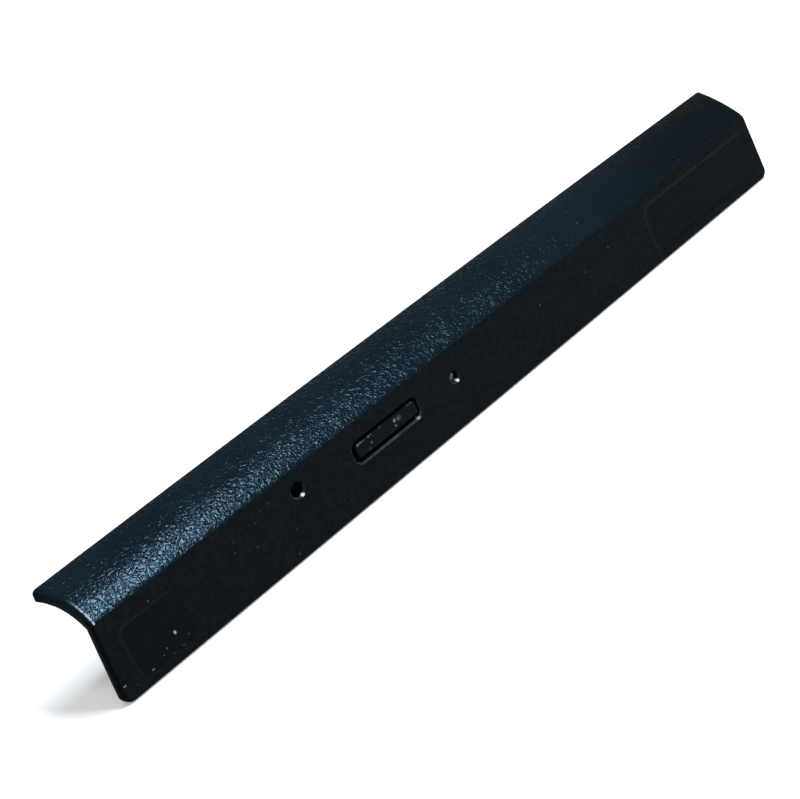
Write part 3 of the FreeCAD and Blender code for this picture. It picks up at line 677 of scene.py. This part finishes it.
def studio_white():
    """Matt pale paint, with a glow that only looking rays see, weaker where the part's shadow falls."""
    nodes = Nodes("studio_white")
    tree = nodes.tree
    tree.nodes.remove(tree.nodes["Principled BSDF"])
    matt = nodes.add("ShaderNodeBsdfDiffuse")
    nodes.feed(matt.inputs["Color"], FLOOR_PAINT)
    place = nodes.add("ShaderNodeTexCoord")
    from_part = nodes.math("DIVIDE", nodes.length(place.outputs["Object"]), STUDIO_RADIUS)
    strength = nodes.add("ShaderNodeFloatCurve")
    nodes.feed(strength.inputs["Value"], from_part)
    curve = strength.mapping.curves[0]
    curve.points[0].location = GLOW[0]
    curve.points[1].location = GLOW[-1]
    for share, level in GLOW[1:-1]:
        curve.points.new(share, level)
    strength.mapping.update()
    glow = nodes.add("ShaderNodeEmission")
    nodes.feed(glow.inputs["Strength"], nodes.math("MULTIPLY", seen_rays(nodes), strength.outputs[0]))
    both = nodes.add("ShaderNodeAddShader")
    nodes.feed(both.inputs[0], matt.outputs[0])
    nodes.feed(both.inputs[1], glow.outputs[0])
    nodes.feed(tree.nodes["Material Output"].inputs["Surface"], both.outputs[0])
    return nodes.material


def make_studio():
    """A round pale floor just below the part, which curves up into a wall."""
    outline = [(STUDIO_RADIUS - STUDIO_SWEEP, 0.0)]
    for step in range(1, SWEEP_STEPS + 1):
        angle = math.radians(90) * step / SWEEP_STEPS
        outline.append((
            STUDIO_RADIUS - STUDIO_SWEEP * (1 - math.sin(angle)),
            STUDIO_SWEEP * (1 - math.cos(angle))))
    outline.append((STUDIO_RADIUS, STUDIO_HEIGHT))
    points = [(0.0, 0.0, 0.0)]
    faces = []
    for ring, (radius, height) in enumerate(outline):
        for side in range(STUDIO_SIDES):
            angle = 2 * math.pi * side / STUDIO_SIDES
            points.append((radius * math.cos(angle), radius * math.sin(angle), height))
            here = 1 + ring * STUDIO_SIDES + side
            after = 1 + ring * STUDIO_SIDES + (side + 1) % STUDIO_SIDES
            if ring == 0:
                faces.append((0, here, after))
            else:
                faces.append((here - STUDIO_SIDES, here, after, after - STUDIO_SIDES))
    mesh = bpy.data.meshes.new("studio_floor")
    mesh.from_pydata(points, [], faces)
    mesh.polygons.foreach_set("use_smooth", [True] * len(faces))
    floor = bpy.data.objects.new("studio_floor", mesh)
    floor.location.z = CAD_BOX[0].z - FLOOR_GAP
    bpy.context.scene.collection.objects.link(floor)
    mesh.materials.append(studio_white())


def make_world():
    """The dim ceiling: plain soft light from all round."""
    world = bpy.data.worlds.new("studio")
    bpy.context.scene.world = world
    world.use_nodes = True
    background = world.node_tree.nodes["Background"]
    background.inputs["Color"].default_value = WHITE
    background.inputs["Strength"].default_value = CEILING


def make_lamp(name, place, aim, width, length, watts, tint):
    """A soft oval lamp whose length runs from front to back."""
    data = bpy.data.lights.new(name, "AREA")
    data.shape = "ELLIPSE"
    data.size = width
    data.size_y = length
    data.energy = watts
    data.color = tint
    lamp = bpy.data.objects.new(name, data)
    back = (Vector(place) - Vector(aim)).normalized()
    side = Vector((0, 1, 0)).cross(back).normalized()
    turned = Matrix((side, back.cross(side), back)).transposed()
    lamp.matrix_world = Matrix.Translation(place) @ turned.to_4x4()
    bpy.context.scene.collection.objects.link(lamp)


def make_camera():
    """The photograph's camera, as fitted to the part's edges and holes."""
    data = bpy.data.cameras.new("photo_camera")
    data.lens = CAMERA_LENS
    data.sensor_width = CAMERA_SENSOR
    data.clip_start = CAMERA_NEAREST
    data.clip_end = CAMERA_FARTHEST
    camera = bpy.data.objects.new("photo_camera", data)
    look = (CAMERA_AIM - CAMERA_PLACE).to_track_quat("-Z", "Y").to_matrix().to_4x4()
    camera.matrix_world = Matrix.Translation(CAMERA_PLACE) @ look @ Matrix.Rotation(CAMERA_ROLL, 4, "Z")
    bpy.context.scene.collection.objects.link(camera)
    bpy.context.scene.camera = camera


bezel = frame["nodes"]["bezel"]
button = frame["nodes"]["eject_button"]
light_pipe = frame["nodes"]["led_light_pipe"]
dress(bezel, smooth_finish(), grained_finish(), edge_finish(), rear_finish("bezel_rear_plastic"))
share_out_bezel(bezel)
dress(button, button_finish(), rear_finish("button_rear_plastic"))
share_out_button(button)
dress(light_pipe, light_pipe_finish())

make_studio()
make_world()
for lamp_row in LAMPS:
    make_lamp(*lamp_row)
make_camera()
bpy.context.scene.view_settings.view_transform = "Standard"
